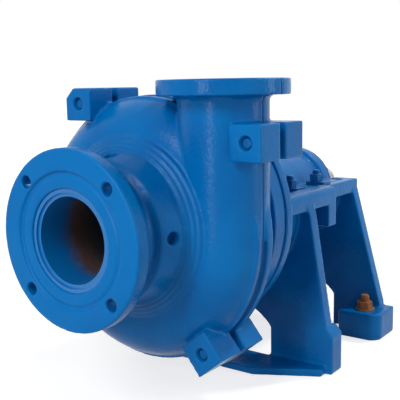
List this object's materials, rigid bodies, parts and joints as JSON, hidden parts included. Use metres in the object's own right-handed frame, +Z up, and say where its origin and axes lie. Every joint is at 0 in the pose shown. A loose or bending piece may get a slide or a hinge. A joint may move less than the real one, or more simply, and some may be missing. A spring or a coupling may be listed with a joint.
{
  "type": "slurry pump",
  "caption": "Horizontal end-suction slurry pump with a split lined casing, upward side discharge, closed impeller, packed gland and an adjustable bearing assembly on a cast base.",
  "frame": {"origin": "the centre of the rectangle of the four hold-down bolt holes, on the underside of the feet", "axes": "+Z up, +Y along the shaft towards the drive end, +X towards the discharge side"},
  "size_m": [0.5495, 0.915, 0.587],
  "materials": {
    "blue_enamel": "glossy enamel over rough castings",
    "hard_iron": "as-cast hard iron",
    "steel": "turned",
    "bearing_steel": "ground",
    "bronze": "machined",
    "packing": "braided",
    "seal_rubber": "matt"
  },
  "bodies": {
    "pump_frame": {"base": "blue_enamel", "cover_plate": "blue_enamel", "frame_plate": "blue_enamel", "casing_bolts": "blue_enamel", "volute_liner": "hard_iron", "throat_bush": "hard_iron", "cotters": "blue_enamel", "frame_plate_insert": "hard_iron", "stuffing_box": "blue_enamel", "lantern_ring": "bronze", "packing_rings": "packing", "gland_bolts": "steel", "frame_studs": "blue_enamel", "frame_nuts": "blue_enamel", "clamp_washers": "blue_enamel", "clamp_bolts": "blue_enamel", "clamp_nuts": "blue_enamel"},
    "gland_follower": {"gland": "blue_enamel", "gland_nuts": "blue_enamel"},
    "bearing_assembly": {"bearing_housing": "blue_enamel", "front_outer_race": "bearing_steel", "drive_outer_race": "bearing_steel", "front_end_cover": "blue_enamel", "drive_end_cover": "blue_enamel", "end_cover_screws": "blue_enamel", "end_cover_shim": "steel", "adjusting_screw": "steel", "grease_nipples": "steel"},
    "rotor": {"impeller": "hard_iron", "impeller_oring": "seal_rubber", "shaft": "steel", "shaft_key": "steel", "shaft_sleeve": "steel", "release_collar": "steel", "front_labyrinth": "steel", "drive_labyrinth": "steel", "front_inner_race": "bearing_steel", "drive_inner_race": "bearing_steel", "bearing_locknut": "steel"},
    "front_roller_set": {"front_rollers": "bearing_steel", "front_cage": "bronze"},
    "drive_roller_set": {"drive_rollers": "bearing_steel", "drive_cage": "bronze"},
    "adjusting_nuts": {"adjusting_nuts": "blue_enamel"}
  },
  "joints": [
    {"name": "bearing_adjustment", "type": "slide", "parent": "pump_frame", "child": "bearing_assembly", "axis": [0, -1, 0], "range_m": [0, 0.005]},
    {"name": "shaft_spin", "type": "hinge", "parent": "bearing_assembly", "child": "rotor", "pos_m": [0, 0, 0.33], "axis": [0, 1, 0], "continuous": true},
    {"name": "front_roller_orbit", "type": "hinge", "parent": "bearing_assembly", "child": "front_roller_set", "pos_m": [0, 0, 0.33], "axis": [0, 1, 0], "continuous": true},
    {"name": "drive_roller_orbit", "type": "hinge", "parent": "bearing_assembly", "child": "drive_roller_set", "pos_m": [0, 0, 0.33], "axis": [0, 1, 0], "continuous": true},
    {"name": "gland_travel", "type": "slide", "parent": "pump_frame", "child": "gland_follower", "axis": [0, 1, 0], "range_m": [0, 0.012]},
    {"name": "adjusting_nut_turn", "type": "hinge", "parent": "pump_frame", "child": "adjusting_nuts", "pos_m": [0, 0.15, 0.21], "axis": [0, 1, 0], "range_deg": [0, 720]}
  ],
  "couplings": [
    {"joint": "front_roller_orbit", "follows": "shaft_spin", "ratio": 0.44697},
    {"joint": "drive_roller_orbit", "follows": "shaft_spin", "ratio": 0.44697},
    {"joint": "adjusting_nut_turn", "follows": "bearing_adjustment", "rad_per_m": 2513}
  ]
}
